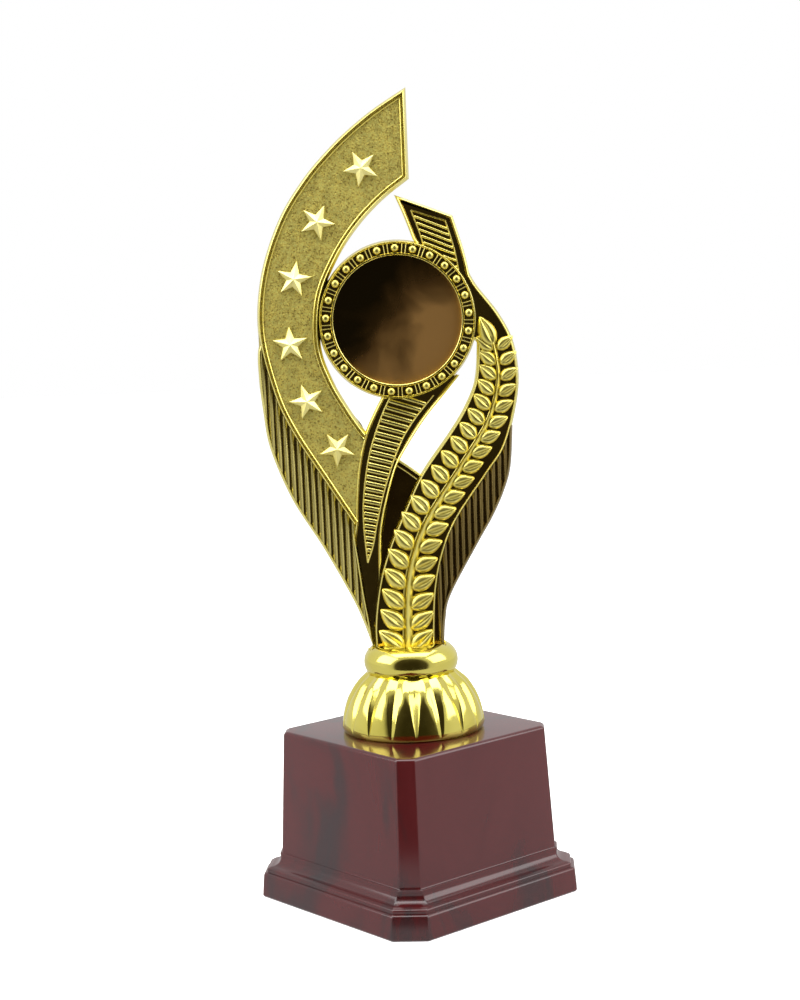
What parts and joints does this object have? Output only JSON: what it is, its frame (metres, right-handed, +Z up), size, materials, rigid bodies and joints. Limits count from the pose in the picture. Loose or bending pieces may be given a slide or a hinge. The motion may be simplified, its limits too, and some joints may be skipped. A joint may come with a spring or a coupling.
{
  "type": "column trophy",
  "caption": "Column trophy: gold relief figure with star band, beaded medallion recess and laurel, on a gadrooned riser and a square burgundy marbled base.",
  "frame": {"origin": "centre of the underside of the base, on the surface that the trophy stands on", "axes": "+Z up along the tie rod; the figure and its medallion face -Y; +X is the viewer's right; the base is turned 41 degrees about +Z under the figure"},
  "size_m": [0.1268, 0.1268, 0.3176],
  "materials": {
    "marbled_base": "polished burgundy with dark marbled streaks",
    "weight": "cast and rough",
    "cover": "moulded",
    "steel": "zinc plated",
    "felt": "felt",
    "gold_plastic": "metallised bright gold",
    "frosted_gold_plastic": "metallised gold with a stippled field",
    "dark_gold_plastic": "metallised dark bronze gold"
  },
  "bodies": {
    "base": {"base_shell": "marbled_base", "base_weight": "weight", "bottom_cover": "cover", "cover_screws": "steel", "felt_pad": "felt"},
    "figure": {"riser_dome": "gold_plastic", "collar_ring": "gold_plastic", "tie_rod": "steel", "foot_nut": "steel", "rod_washer": "steel", "rod_nut": "steel", "figure_core": "dark_gold_plastic", "back_cover": "gold_plastic", "back_screws": "steel", "left_wing": "gold_plastic", "right_wing": "gold_plastic", "star_band": "frosted_gold_plastic", "stars": "gold_plastic", "ribbon_upper": "gold_plastic", "ribbon_lower": "gold_plastic", "web_panel": "dark_gold_plastic", "laurel_bed": "gold_plastic", "laurel_spray": "gold_plastic", "medallion_tray": "dark_gold_plastic", "bead_ring": "gold_plastic"}
  },
  "joints": [
    {"name": "figure_turn", "type": "hinge", "parent": "base", "child": "figure", "pos_m": [0, 0, 0.0666], "axis": [0, 0, 1], "continuous": true}
  ]
}
